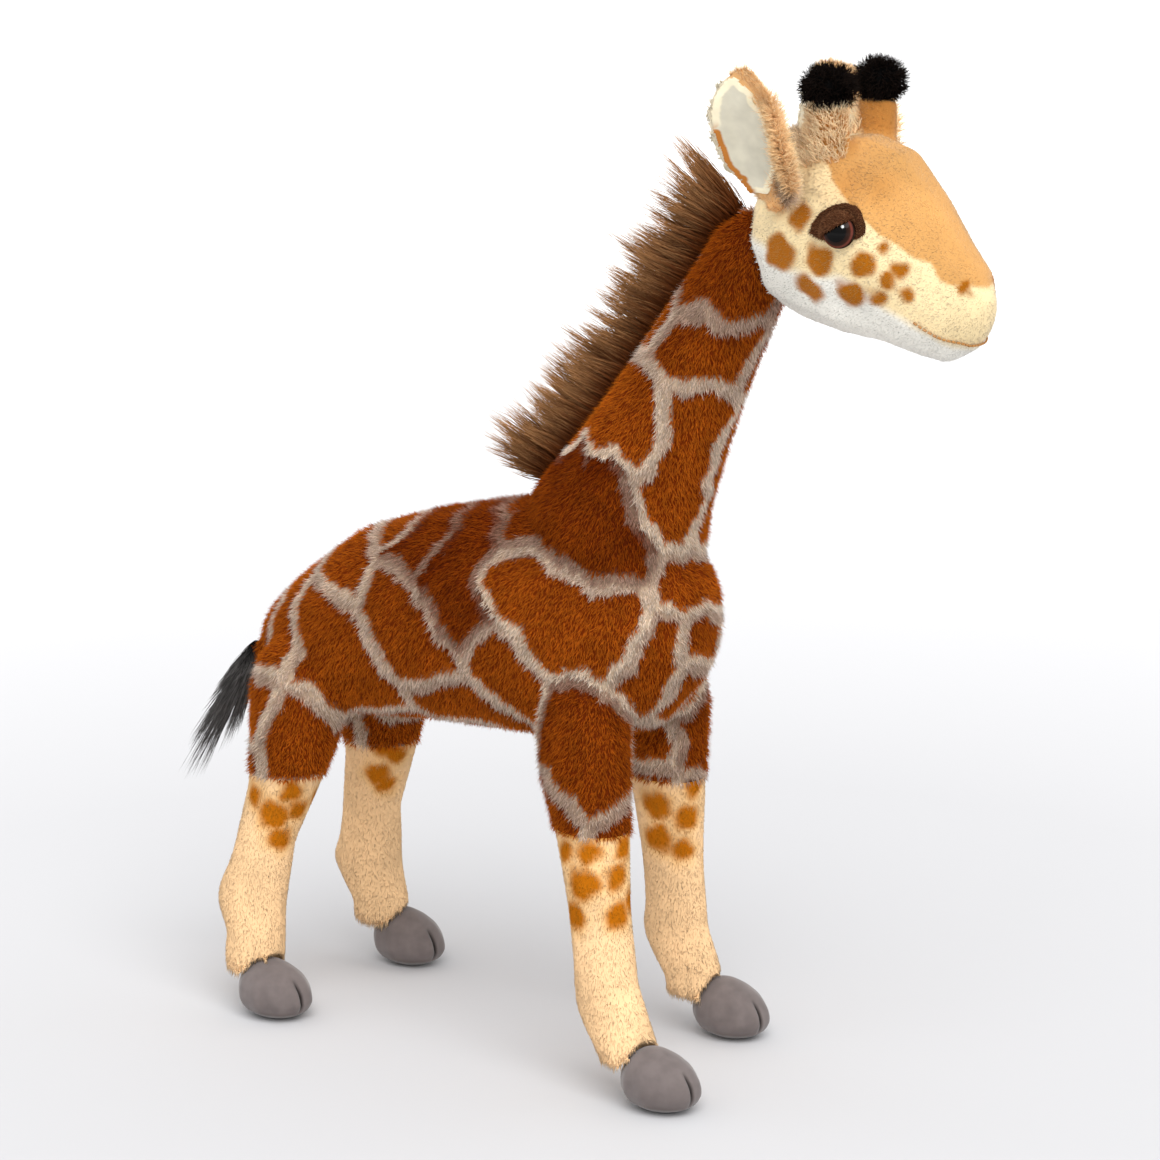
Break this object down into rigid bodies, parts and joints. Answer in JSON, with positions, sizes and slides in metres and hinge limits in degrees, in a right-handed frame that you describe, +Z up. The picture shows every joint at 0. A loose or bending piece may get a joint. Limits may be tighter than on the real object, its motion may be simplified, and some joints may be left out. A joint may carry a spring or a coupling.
{
  "type": "plush giraffe",
  "caption": "Standing plush giraffe on a bendable wire frame, with a jointed neck, head, ears, tail and legs.",
  "frame": {"origin": "on the floor, under the middle of the toy's bounding box", "axes": "+Z up, -Y the way the toy faces, -X its right side"},
  "size_m": [0.1451, 0.4783, 0.5013],
  "materials": {
    "spotted_plush": "short brown pile with cream lines between the patches",
    "beige_plush": "short brushed pile",
    "tan_plush": "very short velvety pile",
    "cream_plush": "very short pile with airbrushed spots",
    "white_plush": "very short pile",
    "dark_plush": "very short velvety pile",
    "black_fur": "long pile",
    "mane_fur": "long brown pile with pale tips",
    "grey_suede": "brushed suedecloth",
    "lining_velour": "flat velour",
    "thread": "twisted thread",
    "eye_plastic": "polished",
    "washer_plastic": "moulded",
    "polyester_filling": "loose fibre",
    "steel_wire": "drawn"
  },
  "bodies": {
    "torso": {"torso_cover": "spotted_plush", "torso_filling": "polyester_filling", "torso_frame_wire": "steel_wire"},
    "neck": {"neck_cover": "spotted_plush", "neck_filling": "polyester_filling", "neck_wire": "steel_wire", "mane": "mane_fur"},
    "head": {"forehead_cover": "tan_plush", "right_cheek_cover": "cream_plush", "left_cheek_cover": "cream_plush", "jaw_cover": "white_plush", "head_filling": "polyester_filling", "head_wire": "steel_wire", "mouth_stitching": "thread", "right_eye_patch": "dark_plush", "right_eye": "eye_plastic", "right_eye_washer": "washer_plastic", "left_eye_patch": "dark_plush", "left_eye": "eye_plastic", "left_eye_washer": "washer_plastic", "right_horn_stub": "tan_plush", "right_horn_tuft": "black_fur", "left_horn_stub": "tan_plush", "left_horn_tuft": "black_fur"},
    "right_ear": {"right_ear": "tan_plush", "right_ear_lining": "lining_velour"},
    "left_ear": {"left_ear": "tan_plush", "left_ear_lining": "lining_velour"},
    "tail": {"tail_sleeve": "spotted_plush", "tail_tuft": "black_fur"},
    "front_right_leg": {"front_right_thigh_cover": "spotted_plush", "front_right_shin_cover": "beige_plush", "front_right_leg_filling": "polyester_filling", "front_right_leg_wire": "steel_wire", "front_right_hoof": "grey_suede"},
    "front_left_leg": {"front_left_thigh_cover": "spotted_plush", "front_left_shin_cover": "beige_plush", "front_left_leg_filling": "polyester_filling", "front_left_leg_wire": "steel_wire", "front_left_hoof": "grey_suede"},
    "hind_right_leg": {"hind_right_thigh_cover": "spotted_plush", "hind_right_shin_cover": "beige_plush", "hind_right_leg_filling": "polyester_filling", "hind_right_leg_wire": "steel_wire", "hind_right_hoof": "grey_suede"},
    "hind_left_leg": {"hind_left_thigh_cover": "spotted_plush", "hind_left_shin_cover": "beige_plush", "hind_left_leg_filling": "polyester_filling", "hind_left_leg_wire": "steel_wire", "hind_left_hoof": "grey_suede"}
  },
  "joints": [
    {"name": "neck_bend", "type": "hinge", "parent": "torso", "child": "neck", "pos_m": [0, -0.034, 0.268], "axis": [1, 0, 0], "range_deg": [-8, 10]},
    {"name": "head_nod", "type": "hinge", "parent": "neck", "child": "head", "pos_m": [0, -0.11084, 0.40834], "axis": [1, 0, 0], "range_deg": [-10, 12]},
    {"name": "right_ear_fold", "type": "hinge", "parent": "head", "child": "right_ear", "pos_m": [-0.03329, -0.14179, 0.43715], "axis": [1, 0, 0], "range_deg": [-16, 10]},
    {"name": "left_ear_fold", "type": "hinge", "parent": "head", "child": "left_ear", "pos_m": [0.03329, -0.14179, 0.43715], "axis": [1, 0, 0], "range_deg": [-16, 10]},
    {"name": "tail_lift", "type": "hinge", "parent": "torso", "child": "tail", "pos_m": [0, 0.18, 0.19], "axis": [1, 0, 0], "range_deg": [-8, 20]},
    {"name": "front_right_hip", "type": "hinge", "parent": "torso", "child": "front_right_leg", "pos_m": [-0.035, -0.037, 0.18], "axis": [1, 0, 0], "range_deg": [-8, 8]},
    {"name": "front_left_hip", "type": "hinge", "parent": "torso", "child": "front_left_leg", "pos_m": [0.035, -0.037, 0.18], "axis": [1, 0, 0], "range_deg": [-8, 8]},
    {"name": "hind_right_hip", "type": "hinge", "parent": "torso", "child": "hind_right_leg", "pos_m": [-0.033, 0.141, 0.17], "axis": [1, 0, 0], "range_deg": [-8, 8]},
    {"name": "hind_left_hip", "type": "hinge", "parent": "torso", "child": "hind_left_leg", "pos_m": [0.033, 0.141, 0.17], "axis": [1, 0, 0], "range_deg": [-8, 8]}
  ]
}
